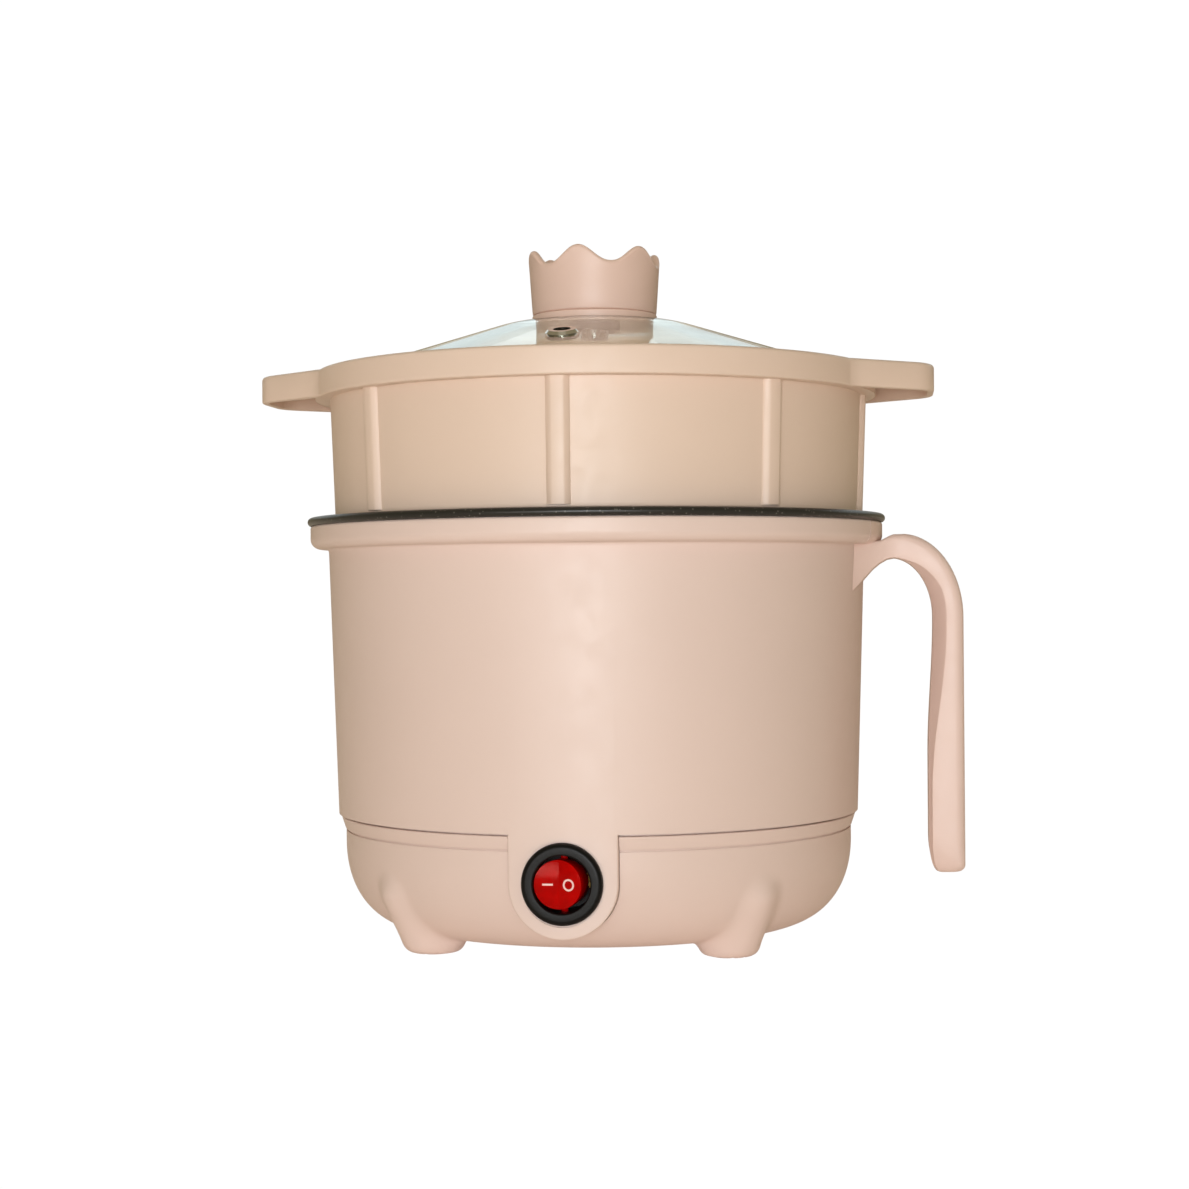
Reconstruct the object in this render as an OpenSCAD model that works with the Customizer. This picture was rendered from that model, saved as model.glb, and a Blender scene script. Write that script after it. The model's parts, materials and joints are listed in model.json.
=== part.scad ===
// Electric multi-cooker with a steamer tier and a glass lid.
// Millimetres. +Z is up, and the origin is where the pot's axis meets the surface it stands on.
// The switch faces -Y, the handle is at +X, the steamer's ears are at +X and -X, the inlet at +Y.

/* [Outer shell] */
// Outer radius of the shell at its lower edge
shell_low_r = 81.2; // [80:0.1:82]
// Outer radius of the shell just under its flange
shell_top_r = 83.7; // [83:0.1:84]
// Height of the shell's lower edge
shell_low_z = 38.9; // [38.6:0.1:39.4]
// Height of the flange's underside
flange_z = 120.8; // [119:0.1:121]
// Outer radius of the flange
flange_r = 89.4; // [88:0.1:89.8]
// Height of the flange's top
shell_top_z = 127.9; // [127.5:0.1:128]
// Wall thickness of the moulded parts
wall = 2.2; // [1.8:0.1:2.4]

/* [Base] */
// Height of the bottom of the bowl over the floor
floor_z = 4; // [3:0.1:5]
// Radius of the flat bottom
floor_r = 55.6; // [54:0.1:57]
// Radius of the bowl's side
bowl_r = 79; // [78:0.1:79.5]
// Height where the bowl's side turns vertical
bowl_z = 30.6; // [29:0.1:31.5]
// Height of the groove below the collar
groove_z = 33.8; // [33:0.1:34.5]
// Distance from the axis to the middle of each foot
foot_at = 62; // [60:0.5:63]
// Radius of a foot at the floor
foot_r = 8.5; // [7:0.1:9]

/* [Switch] */
// Height of the switch over the floor
switch_z = 25.2; // [24.5:0.1:26]
// Width of the tongue that carries the switch
tongue_w = 31.3; // [30:0.1:33]
// Radius of the switch's bezel
bezel_r = 11.6; // [11.4:0.1:12]
// Radius of the opening that the rocker moves in
rocker_gap_r = 8.15; // [8.1:0.05:8.6]
// Radius of the rocker
rocker_r = 6.9; // [6.5:0.1:6.9]
// Angle that the rocker turns through
rocker_turn = 18; // [12:1:18]

/* [Pot] */
// Outer radius of the pot's rolled rim
rim_r = 90.3; // [90:0.1:90.5]
// Height of the top of the rolled rim
rim_z = 130.4; // [130.2:0.1:130.4]
// Inner radius at the mouth
pot_mouth_r = 78.6; // [78.4:0.1:78.8]
// Inner radius where the wall meets the bottom's round corner
pot_low_r = 75.6; // [75:0.1:76]
// Height of the underside of the pot
pot_z = 46; // [45.8:0.1:46.4]
// Sheet thickness
sheet = 0.8; // [0.6:0.1:0.8]

/* [Steamer] */
// Outer radius of the wall where it stands on the rim
steamer_low_r = 81.65; // [81.4:0.05:82]
// Outer radius of the wall under the band
steamer_top_r = 83; // [82.5:0.1:83.4]
// Height of the band's lower edge
band_z = 167.2; // [166.8:0.1:167.6]
// Height of the band's top
band_top_z = 175.6; // [174.9:0.1:176]
// Outer radius of the band
band_r = 87.5; // [87:0.1:88]
// Distance from the axis to the tip of an ear
ear_tip = 105.5; // [102:0.5:108]
// Number of upright ribs
rib_count = 8; // [4:1:12]
// Width of a rib
rib_w = 6.7; // [5:0.1:8]

/* [Lid] */
// Height of the flat top of the glass
lid_z = 191.4; // [190.5:0.1:192]
// Slope of the glass in degrees
lid_slope = 17.6; // [16.5:0.1:18]
// Glass thickness
glass_t = 3.5; // [3:0.1:4]
// Distance from the axis to the steam vent
vent_at = 53; // [48:1:58]
// Radius of the knob at its foot
knob_r = 19.5; // [18:0.1:20]
// Height of the crown's points
knob_top_z = 213.8; // [212:0.1:216]
// Depth of the valleys between the points
crown_depth = 5; // [3:0.1:6]

/* [Handle] */
// Distance from the axis to the outside of the grip
grip_out = 113.7; // [112:0.1:116]
// Thickness of the grip
grip_t = 10.8; // [9:0.1:12]
// Width of the grip
grip_w = 27; // [24:0.5:30]
// Height of the grip's free lower end
grip_low_z = 20.7; // [15:0.1:30]
// Height of the top of the arch
arch_z = 123.9; // [122:0.1:125]

/* [Hidden] */
$fn = 96;

pink = "#e2c8ba";
peach = "#e6cdb6";

// Running gap, and the height of the groove between the collar and the shell
gap = 0.1;
seam = 0.6;

// Half the angle that the handle's root takes out of the flange
handle_seam = 16;

// Pot: radius of the round corner at its bottom
corner_r = 12;

// Under the pot: the plate, the heating tube, the shield and the pillars that hold the base on
plate_r = 56;
plate_t = 4;
tube_r = 3.3;
tube_ring_r = 42;
tube_z = pot_z - plate_t - tube_r + 1.2;
// The tube is open over twice this angle, and its two ends stand just inside the opening
tube_gap_angle = 20;
stub_angle = tube_gap_angle + 2;
stub_z = 31;
shield_r = 60.6;
shield_z = 29.4;
shield_t = 0.6;
stud_at = 34;
stud_r = 2;
pillar_z = 19;
clip_screw_at = 14;
fuse_x = 24;
fuse_z = 25.4;

// Inlet at the back of the base
inlet_z = 20.5;
inlet_w = 27;
inlet_h = 19.8;
inlet_pad_y = 80.3;
pin_at = 7;

// Switch depths, measured along Y from the pot's axis
seat_y = -80.4;
bezel_y = -82.9;
face_y = -81.8;
pivot_y = -76;
can_y = -67;
can_r = 9.9;
arm_y = -70.9;
arm_turn = 12;
blade_at = 6.5;
// Each half of the rocker's face slopes back by this angle
facet = rocker_turn / 2;

// Lid
lid_crown_r = 20;
lid_blend_r = 40;
lid_edge_r = 83.4;
seat_z = 169.1;
lid_blend_x = lid_crown_r + lid_blend_r * sin(lid_slope);
lid_blend_z = lid_z - lid_blend_r * (1 - cos(lid_slope));
lid_drop = glass_t / cos(lid_slope);
collar_t = 2.5;
knob_z = lid_z + collar_t;
// Direction of one of the crown's valleys
valley_at = -7.6;

// Steamer: the spigot that hangs in the pot's mouth, and the foot that stands on the pot's rim
spigot_r = 77.9;
spigot_z = 118.6;
steamer_foot_z = rim_z + gap;

// Handle: inside of the grip, and the centres of the arch's two curves
inner_x = grip_out - grip_t;
arch_x = 95;
arch_low_x = 92;
arch_low_z = 116.7;
arch_foot_z = 98.5;
handle_screw_z = [115.5, 122];

// Wires, and where they leave their push-on receptacles
wire_r = 1.3;
sleeve_l = 10;
term_x = tube_ring_r * cos(stub_angle);
term_y = tube_ring_r * sin(stub_angle);
term_z = stub_z - 17.5;
stat_z = 17;
switch_back_y = -52;
inlet_back_y = 51;

function ellipse(cx, cz, rx, rz, from, to, steps) =
    [for (i = [0 : steps]) let (a = from + (to - from) * i / steps) [cx + rx * cos(a), cz + rz * sin(a)]];

function arc(cx, cz, r, from, to, steps) = ellipse(cx, cz, r, r, from, to, steps);

function shell_r(z) =
    shell_low_r + (z - shell_low_z) * (shell_top_r - shell_low_r) / (118 - shell_low_z);

function lid_at(r) = lid_blend_z - (r - lid_blend_x) * tan(lid_slope);

// ---------------------------------------------------------------- outer shell

module u_outline(half_w) {
    translate([0, switch_z]) circle(r = half_w);
    translate([-half_w, switch_z]) square([2 * half_w, 30]);
}

module u_prism(half_w, y_from, y_to) {
    translate([0, y_to, 0]) rotate([90, 0, 0]) linear_extrude(y_to - y_from) u_outline(half_w);
}

module ring_sector(r_in, r_out, z_from, z_to, half_angle) {
    translate([0, 0, z_from]) rotate([0, 0, -half_angle])
        rotate_extrude(angle = 2 * half_angle) translate([r_in, 0]) square([r_out - r_in, z_to - z_from]);
}

module outer_shell() color(pink) {
    lip_in = 74.9;
    lip_out = 76.8;
    tongue_end_y = -66;
    channel_in = 83.9;
    channel_out = 86.9;
    half = tongue_w / 2;
    difference() {
        union() {
            rotate_extrude() polygon(concat(
                [[shell_low_r - wall, shell_low_z], [shell_low_r, shell_low_z]],
                [[shell_r(flange_z - 1.5), flange_z - 1.5]],
                arc(85.3, flange_z - 1.5, 1.5, 180, 90, 4),
                arc(flange_r - 3, flange_z + 3, 3, -90, 0, 8),
                [[flange_r, shell_top_z - 0.8], [flange_r - 0.8, shell_top_z]],
                [[channel_out, shell_top_z], [channel_out, flange_z + wall]],
                [[channel_in, flange_z + wall], [channel_in, shell_top_z]],
                [[shell_top_r - wall, shell_top_z]]));
            rotate_extrude() polygon([
                [lip_in, 34.5], [lip_out, 34.5], [lip_out, shell_low_z], [shell_low_r - 1, shell_low_z],
                [shell_low_r - 1, 41], [lip_in, 41]]);
        }
        // The switch's body needs the room behind the tongue
        u_prism(half - wall, -78, -60);
        // The handle's root takes the place of the flange
        ring_sector(shell_top_r, flange_r + 1, flange_z - 2, shell_top_z + 1, handle_seam + 0.1);
        for (z = handle_screw_z) translate([70, 0, z]) rotate([0, 90, 0]) cylinder(r = 2, h = 30);
    }
    difference() {
        union() {
            intersection() {
                u_prism(half, -90, -40);
                translate([0, 0, 5]) difference() {
                    cylinder(r = shell_low_r, h = shell_low_z - 5 + 0.5);
                    translate([0, 0, -1]) cylinder(r = shell_low_r - 2.4, h = 60);
                }
            }
            intersection() {
                difference() {
                    u_prism(half, -82, tongue_end_y);
                    u_prism(half - wall, -83, tongue_end_y + 1);
                }
                cylinder(r = shell_low_r, h = shell_low_z);
            }
        }
        // Flat seat and hole for the switch
        translate([0, seat_y, switch_z]) rotate([90, 0, 0]) cylinder(r = bezel_r + 0.5, h = 5);
        translate([0, -70, switch_z]) rotate([90, 0, 0]) cylinder(r = can_r + 0.1, h = 20);
    }
}

// ---------------------------------------------------------------- base

function bowl_point(a, inset) = [
    floor_r + (bowl_r - inset - floor_r) * pow(cos(a), 0.86),
    bowl_z - (bowl_z - inset - floor_z) * pow(sin(a), 0.92)];

module bowl(inset, top_z) {
    rotate_extrude() polygon(concat(
        [[0, top_z], [0, floor_z + inset]],
        [for (i = [10 : -1 : 0]) bowl_point(i * 9, inset)],
        [[bowl_r - inset, top_z]]));
}

// A foot is a round-ended cone that leans out as it rises and runs into the bowl's side
module foot(r_low, r_high, z_low) {
    rise = 17;
    reach = 11.2;
    run = norm([rise, reach]);
    taper = asin((r_low - r_high) / run);
    translate([foot_at, 0, z_low]) rotate([0, atan2(reach, rise), 0]) rotate_extrude()
        polygon(concat(arc(0, 0, r_low, -90, taper, 10), arc(0, run, r_high, taper, 90, 8)));
}

module base_housing() color(pink) {
    half = tongue_w / 2 + 0.15;
    rib_pitch = 3.6;
    boss_r = 4.6;
    difference() {
        union() {
            bowl(0, groove_z);
            rotate_extrude() polygon([
                [70, groove_z], [bowl_r - 0.6, groove_z], [bowl_r - 0.6, groove_z + seam],
                [bowl_r + 0.2, groove_z + seam], [80.5, shell_low_z - seam], [78.4, shell_low_z - seam],
                [78.4, shell_low_z], [70, shell_low_z]]);
            for (a = [45 : 90 : 315]) rotate([0, 0, a]) intersection() {
                foot(foot_r, 4.6, 1.5);
                translate([40, -20, 0]) cube([60, 40, 40]);
            }
            // Flat pad for the inlet
            translate([-17.5, 40, 7]) cube([35, inlet_pad_y - 40, 26.4]);
        }
        difference() {
            bowl(wall, 50);
            for (x = [-stud_at, stud_at], y = [-stud_at, stud_at])
                translate([x, y, 0]) cylinder(r = boss_r, h = pillar_z);
            translate([-17.5, 60, 0]) cube([35, 40, inlet_z - inlet_h / 2 - 2]);
        }
        for (a = [45 : 90 : 315]) rotate([0, 0, a]) intersection() {
            foot(foot_r - wall, 2.6, 3.5);
            translate([40, -20, wall]) cube([30, 40, 30]);
        }
        u_prism(half, -90, -50);
        // Screw holes with sunk heads
        for (x = [-stud_at, stud_at], y = [-stud_at, stud_at]) translate([x, y, 0]) {
            cylinder(r = 1.7, h = 30);
            cylinder(r = 3.4, h = 12);
        }
        // Window for the inlet
        translate([-inlet_w / 2, 50, inlet_z - inlet_h / 2]) cube([inlet_w, 40, inlet_h]);
        // Anti-slip grooves under the feet
        for (a = [45 : 90 : 315], i = [-1.5 : 1 : 1.5])
            rotate([0, 0, a]) translate([foot_at - 12, i * rib_pitch - 0.7, -1]) cube([24, 1.4, 1.6]);
        // Air slots
        for (a = [15 : 30 : 345]) rotate([0, 0, a]) translate([18, -1, 0]) cube([12, 2, 10]);
    }
}

module base_screws() color("silver") {
    head_z = 12;
    for (x = [-stud_at, stud_at], y = [-stud_at, stud_at]) translate([x, y, 0]) difference() {
        union() {
            translate([0, 0, head_z - 2.4]) cylinder(r = 3, h = 2.4);
            translate([0, 0, head_z]) cylinder(r = 1.5, h = 11);
        }
        for (turn = [0, 90]) rotate([0, 0, turn]) translate([-2, -0.4, head_z - 3]) cube([4, 0.8, 1.8]);
    }
}

// ---------------------------------------------------------------- pot

module inner_pot() color("#3d3a38") {
    arc_z = pot_z + sheet + corner_r;
    arc_x = pot_low_r - corner_r;
    bead_r = 1.3;
    flare_r = 2.8;
    flare_x = pot_mouth_r + flare_r;
    flare_z = rim_z - flare_r;
    rotate_extrude() union() {
        polygon(concat(
            [[0, pot_z]],
            arc(arc_x, arc_z, corner_r + sheet, -90, 0, 8),
            arc(flare_x, flare_z, flare_r - sheet, 180, 90, 5),
            [[rim_r - bead_r, rim_z - sheet], [rim_r - bead_r, rim_z]],
            arc(flare_x, flare_z, flare_r, 90, 180, 5),
            arc(arc_x, arc_z, corner_r, 0, -90, 8),
            [[0, pot_z + sheet]]));
        translate([rim_r - bead_r, rim_z - bead_r]) circle(r = bead_r, $fn = 32);
    }
}

module rim_gasket() color("#e9e4dc")
    rotate_extrude() translate([82.2, shell_top_z]) square([5, rim_z - sheet - shell_top_z]);

// ---------------------------------------------------------------- heater

module at_studs()
    for (x = [-stud_at, stud_at], y = [-stud_at, stud_at]) translate([x, y, 0]) children();

module heater_plate() color("#b9bcc0") difference() {
    translate([0, 0, pot_z - plate_t]) cylinder(r = plate_r, h = plate_t);
    at_studs() cylinder(r = stud_r + gap, h = 60);
    for (x = [-clip_screw_at, clip_screw_at]) translate([x, 0, 30]) cylinder(r = 1.5, h = 15);
    rotate_extrude() translate([tube_ring_r, tube_z]) circle(r = tube_r + 0.05);
}

module tube_ring(r) {
    translate([0, 0, tube_z]) rotate([0, 0, tube_gap_angle])
        rotate_extrude(angle = 360 - 2 * tube_gap_angle) translate([tube_ring_r, 0]) circle(r = r);
}

module heater_tube() color("#8f8f92") {
    tube_ring(tube_r);
    for (side = [-1, 1]) rotate([0, 0, side * stub_angle]) translate([tube_ring_r, 0, stub_z])
        cylinder(r = tube_r - 0.3, h = tube_z - stub_z);
}

module heater_terminals() color("#c9c4b4")
    for (side = [-1, 1]) rotate([0, 0, side * stub_angle]) translate([tube_ring_r, 0, 0]) {
        translate([0, 0, stub_z - 3]) cylinder(r = 2.6, h = 3);
        translate([-0.4, -3.15, stub_z - 12]) cube([0.8, 6.3, 9]);
    }

module heat_shield() color("#a9adb2") difference() {
    translate([0, 0, shield_z]) cylinder(r = shield_r, h = pot_z - shield_z);
    translate([0, 0, shield_z + shield_t]) cylinder(r = shield_r - shield_t, h = 30);
    at_studs() cylinder(r = stud_r + gap, h = 60);
    translate([0, 0, 20]) cylinder(r = 13, h = 20);
    for (side = [-1, 1]) rotate([0, 0, side * stub_angle]) translate([tube_ring_r, 0, 20])
        cylinder(r = tube_r + 1, h = 20);
}

module pot_studs() color("silver")
    at_studs() translate([0, 0, 24]) cylinder(r = stud_r, h = pot_z - 24);

module standoffs() color("#c8b27a") at_studs() difference() {
    translate([0, 0, pillar_z]) cylinder(r = 4, h = shield_z - pillar_z, $fn = 6);
    translate([0, 0, 24]) cylinder(r = stud_r, h = 20);
    translate([0, 0, pillar_z - 1]) cylinder(r = 1.5, h = 20);
}

// ---------------------------------------------------------------- thermostat and thermal fuse

module thermostat() color("#b6a27c") {
    translate([0, 0, pot_z - plate_t - 4.5]) cylinder(r = 8.1, h = 4.5);
    translate([0, 0, 31.5]) cylinder(r = 7.6, h = 6);
}

module thermostat_blades() color("#c9c4b4")
    for (y = [-4, 4]) translate([-3.15, y - 0.4, 23]) cube([6.3, 0.8, 8.5]);

module thermostat_clip() color("#a9adb2") difference() {
    clip_w = 18;
    low = pot_z - plate_t - 5.1;
    top = pot_z - plate_t;
    rotate([90, 0, 0]) translate([0, 0, -clip_w / 2]) linear_extrude(clip_w) difference() {
        union() {
            translate([-10.5, low]) square([21, top - low]);
            translate([-17, top - 0.6]) square([34, 0.6]);
        }
        translate([-9.9, low + 0.6]) square([19.8, 20]);
    }
    cylinder(r = 7.8, h = 60);
    for (x = [-clip_screw_at, clip_screw_at]) translate([x, 0, 0]) cylinder(r = 1.7, h = 60);
}

module clip_screws() color("silver") for (x = [-clip_screw_at, clip_screw_at]) translate([x, 0, 0]) {
    translate([0, 0, pot_z - plate_t - 2.2]) cylinder(r = 2.7, h = 1.6);
    translate([0, 0, pot_z - plate_t - 0.6]) cylinder(r = 1.5, h = 3.4);
}

module thermal_fuse() color("#d8d2c8") translate([fuse_x, 0, fuse_z]) rotate([90, 0, 0]) {
    cylinder(r = 2, h = 11, center = true);
    cylinder(r = 0.5, h = 26, center = true);
}

module fuse_sleeve() color("#f2efe6") translate([fuse_x, 0, fuse_z]) rotate([90, 0, 0]) difference() {
    cylinder(r = 2.9, h = 22, center = true);
    cylinder(r = 2.1, h = 30, center = true);
}

module fuse_clip() color("#a9adb2") translate([fuse_x, 0, 0]) difference() {
    union() {
        translate([0, 4, fuse_z]) rotate([90, 0, 0]) cylinder(r = 3.5, h = 8);
        translate([0, -4, fuse_z]) cube([3.5, 8, shield_z - fuse_z]);
        translate([0, -4, shield_z - 0.6]) cube([12, 8, 0.6]);
    }
    translate([0, 0, fuse_z]) rotate([90, 0, 0]) cylinder(r = 2.9, h = 20, center = true);
    translate([-0.5, -5, fuse_z]) cube([3.4, 10, shield_z - fuse_z - 0.6]);
}

// ---------------------------------------------------------------- switch
// The rocker and the contact arm are drawn with the left side pressed in, which is the rest pose.

module switch_at(y) translate([0, y, switch_z]) rotate([90, 0, 0]) children();

module switch_housing() color("#161616") difference() {
    union() {
        switch_at(seat_y) rotate_extrude() polygon(concat(
            [[0, 0], [bezel_r, 0], [bezel_r, 1]],
            arc(bezel_r - 1.4, seat_y - bezel_y - 1.4, 1.4, 0, 90, 5),
            [[0, seat_y - bezel_y]]));
        switch_at(can_y) cylinder(r = can_r, h = can_y - seat_y);
    }
    switch_at(-68.6) cylinder(r = rocker_gap_r, h = 20);
    // Sockets for the rocker's pins
    translate([0, pivot_y, switch_z]) cylinder(r = 1.06, h = 18.4, center = true);
    for (x = [-blade_at, 0, blade_at]) translate([x - 0.4, -70, switch_z - 2.4]) cube([0.8, 5, 4.8]);
}

module switch_terminals() color("#c8b27a") {
    for (x = [-blade_at, 0, blade_at]) translate([x - 0.4, -69.2, switch_z - 2.4]) cube([0.8, 11.7, 4.8]);
    // Fixed contact, and the fulcrum in the middle
    translate([4.4, -69.6, switch_z - 1.8]) cube([2.1, 1, 3.6]);
    translate([-0.4, -70.2, switch_z - 1.2]) cube([0.8, 1, 2.4]);
}

// Turns its children from the level position to where they rest
module rocked(angle, y)
    translate([0, y, switch_z]) rotate([0, 0, angle]) translate([0, -y, -switch_z]) children();

module rocker_solid(r, y_back, depth) intersection() {
    switch_at(y_back) cylinder(r = r, h = 20);
    translate([0, 0, switch_z - 10]) linear_extrude(20) polygon([
        [-10, y_back], [10, y_back], [10, face_y + depth - 10 * tan(facet)], [0, face_y + depth],
        [-10, face_y + depth - 10 * tan(facet)]]);
}

module switch_rocker() color("#c01515") rocked(-facet, pivot_y) {
    difference() {
        rocker_solid(rocker_r, pivot_y + 0.6, 0);
        difference() {
            rocker_solid(rocker_r - 1.1, pivot_y + 1, 1.3);
            switch_at(pivot_y + 2) cylinder(r = 2, h = 20);
            // Webs that carry the pins
            translate([-1.6, pivot_y - 3, switch_z + 4.6]) cube([3.2, 5, 5]);
            translate([-1.6, pivot_y - 3, switch_z - 9.6]) cube([3.2, 5, 5]);
        }
        switch_at(pivot_y + 3) cylinder(r = 1.25, h = 7);
    }
    difference() {
        switch_at(pivot_y + 2) cylinder(r = 2, h = 2);
        switch_at(pivot_y + 3) cylinder(r = 1.25, h = 7);
    }
    for (side = [-1, 1])
        translate([0, pivot_y, switch_z + side * 7.7]) cylinder(r = 1, h = 2.6, center = true);
}

module rocker_marks() color("#f4d9d6") rocked(-facet, pivot_y) {
    mark_x = 3.1;
    mark_t = 0.12;
    for (side = [-1, 1]) translate([0, face_y, switch_z]) rotate([0, 0, -side * facet])
        translate([side * mark_x, 0, 0]) rotate([90, 0, 0]) linear_extrude(mark_t)
            if (side < 0) square([3, 0.5], center = true);
            else difference() {
                circle(r = 1.7);
                circle(r = 1.2);
            }
}

module neon_lamp() color("#ffb37a") rocked(-facet, pivot_y)
    translate([3.55, -78.2, switch_z]) cylinder(r = 1.2, h = 6.4, center = true);

module rocker_plunger() color("#d9d4c4") rocked(-facet, pivot_y) {
    switch_at(-72.6) cylinder(r = 1.15, h = 2.8);
    translate([0, -72.6, switch_z]) sphere(r = 1.15);
}

module plunger_spring() color("#b0b0b0") rocked(-facet, pivot_y) {
    turns = 4;
    steps = 14;
    coil = [for (i = [0 : turns * steps]) [
        0.8 * cos(i * 360 / steps), -75.7 - i * 3.4 / (turns * steps), switch_z + 0.8 * sin(i * 360 / steps)]];
    sweep(coil, 0.2, 6);
}

module contact_arm() color("#c8b27a") rocked(arm_turn / 2, arm_y) {
    translate([-5.4, arm_y - 0.25, switch_z - 1.6]) cube([10.8, 0.5, 3.2]);
    translate([0, arm_y, switch_z - 1.6]) cylinder(r = 0.45, h = 3.2);
}

// ---------------------------------------------------------------- inlet

module inlet_outline(w, h, cut) polygon([
    [-w / 2, -h / 2], [w / 2, -h / 2], [w / 2, h / 2 - cut], [w / 2 - cut, h / 2],
    [-w / 2 + cut, h / 2], [-w / 2, h / 2 - cut]]);

module inlet_prism(y_from, y_to)
    translate([0, y_to, inlet_z]) rotate([90, 0, 0]) linear_extrude(y_to - y_from) children();

module power_inlet() color("#1b1b1b") difference() {
    union() {
        inlet_prism(inlet_pad_y, 82.3) square([30.6, 23.4], center = true);
        inlet_prism(64.5, inlet_pad_y) square([inlet_w - 0.2, inlet_h - 0.2], center = true);
    }
    inlet_prism(66.5, 90) inlet_outline(24.4, 16.8, 4);
    inlet_pin_shapes();
}

module inlet_pin_shapes() {
    for (x = [-pin_at, pin_at]) translate([x - 1, 56.5, inlet_z - 4]) cube([2, 24, 4]);
    translate([-1, 56.5, inlet_z]) cube([2, 24, 4]);
}

module inlet_pins() color("#d0cfc8") inlet_pin_shapes();

// ---------------------------------------------------------------- wires

function curve(p0, p1, p2, p3, t) = 0.5 * (2 * p1 + (p2 - p0) * t + (2 * p0 - 5 * p1 + 4 * p2 - p3) * t * t
    + (3 * p1 - p0 - 3 * p2 + p3) * t * t * t);
function smooth(p, steps) = let (last = len(p) - 1) concat(
    [for (i = [0 : last - 1], j = [0 : steps - 1])
        curve(p[max(i - 1, 0)], p[i], p[i + 1], p[min(i + 2, last)], j / steps)],
    [p[last]]);
function unit(v) = v / norm(v);
function heading(p, i) = unit(p[min(i + 1, len(p) - 1)] - p[max(i - 1, 0)]);
// Side directions carried along the route without twisting
function sides_along(p, side, i) = i == len(p) ? [] :
    let (t = heading(p, i), s = unit(side - (side * t) * t)) concat([s], sides_along(p, s, i + 1));

module sweep(p, r, corners) {
    side = sides_along(p, [0.31, 0.17, 0.93], 0);
    last = len(p) - 1;
    points = [for (i = [0 : last], k = [0 : corners - 1])
        let (a = 360 * k / corners) p[i] + r * (cos(a) * side[i] + sin(a) * cross(heading(p, i), side[i]))];
    walls = [for (i = [0 : last - 1], k = [0 : corners - 1]) let (next = (k + 1) % corners)
        [i * corners + k, (i + 1) * corners + k, (i + 1) * corners + next, i * corners + next]];
    ends = [[for (k = [0 : corners - 1]) k], [for (k = [corners - 1 : -1 : 0]) last * corners + k]];
    polyhedron(points, concat(walls, ends), convexity = 6);
}

module wire(p) sweep(smooth(p, 5), wire_r, 8);

// Each end runs straight out of its receptacle's sleeve
end_gap = 0.45;
inlet_end_y = inlet_back_y - end_gap;
switch_end_y = switch_back_y + end_gap;
stat_end_z = stat_z - end_gap;
term_end_z = term_z - end_gap;

live_route = [
    [-pin_at, inlet_end_y, 18.5], [-pin_at, 48, 18.5], [-12, 40, 12], [-22, 24, 10], [-24, 0, 9.5],
    [-18, -26, 11], [-4, -42, 18], [0, -48, 25], [0, switch_end_y, switch_z]];
switched_route = [
    [blade_at, switch_end_y, switch_z], [blade_at, -48, switch_z], [12, -36, 24.5], [22, -22, 25],
    [fuse_x, -16, fuse_z], [fuse_x, -13.05, fuse_z]];
fuse_route = [
    [fuse_x, 13.05, fuse_z], [fuse_x, 16, 25], [18, 20, 20], [6, 14, 15], [0, 5, 14.2], [0, 4, 15.5],
    [0, 4, stat_end_z]];
heater_route = [
    [0, -4, stat_end_z], [0, -4, 15], [6, -7, 11.5], [20, -12, 9.5], [33, -15.5, 9.3],
    [term_x, -term_y, 11], [term_x, -term_y, term_end_z]];
neutral_route = [
    [pin_at, inlet_end_y, 19.85], [7.4, 47, 20.2], [14, 38, 15.5], [22, 27, 10.5], [33, 17, 9.3],
    [term_x, term_y, 11], [term_x, term_y, term_end_z]];
lamp_route = [
    [-blade_at, switch_end_y, switch_z], [-blade_at, -48, 25], [-14, -42, 18], [-26, -44, 12],
    [-46, -36, 11], [-57, -8, 11], [-50, 26, 11], [-36, 46, 11.5], [-14, 50, 9.6], [-1, 46.5, 9.6],
    [5.5, 45, 12.5], [pin_at, 48, 17.15], [pin_at, inlet_end_y, 17.15]];
earth_route = [
    [0, inlet_end_y, 22.5], [0, 47, 22.5], [-8, 41, 23], [-20, 42, 24.5], [-31, 46, 26.5],
    [-31, 46, shield_z - 0.6]];

module live_wire() color("#7a4a2a") wire(live_route);
module switched_wire() color("#b03a2a") wire(switched_route);
module fuse_wire() color("#e8e2d0") wire(fuse_route);
module heater_wire() color("#e8e2d0") wire(heater_route);
module neutral_wire() color("#2f5fb0") wire(neutral_route);
module lamp_wire() color("#2f5fb0") wire(lamp_route);
module earth_wire() color("#6aa03a") wire(earth_route);

// A push-on receptacle's sleeve, open at the blade's end
module sleeve(blade_w, blade_t) difference() {
    translate([0, 0, sleeve_l / 2]) cube([blade_w + 1.4, 4, sleeve_l], center = true);
    translate([0, 0, sleeve_l / 2 + 2]) cube([blade_w + 0.2, blade_t + 0.2, sleeve_l], center = true);
}

module wire_connectors() color("#e6e2da") {
    for (x = [-pin_at, pin_at]) translate([x, inlet_back_y, 18.5]) rotate([-90, 90, 0]) sleeve(4, 2);
    translate([0, inlet_back_y, 22.5]) rotate([-90, 90, 0]) sleeve(4, 2);
    for (x = [-blade_at, 0, blade_at])
        translate([x, switch_back_y, switch_z]) rotate([90, 90, 0]) sleeve(4.8, 0.8);
    for (side = [-1, 1]) rotate([0, 0, side * stub_angle]) translate([tube_ring_r, 0, term_z])
        rotate([0, 0, 90]) sleeve(6.3, 0.8);
    for (y = [-4, 4]) translate([0, y, stat_z]) sleeve(6.3, 0.8);
}

// ---------------------------------------------------------------- handle

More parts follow.
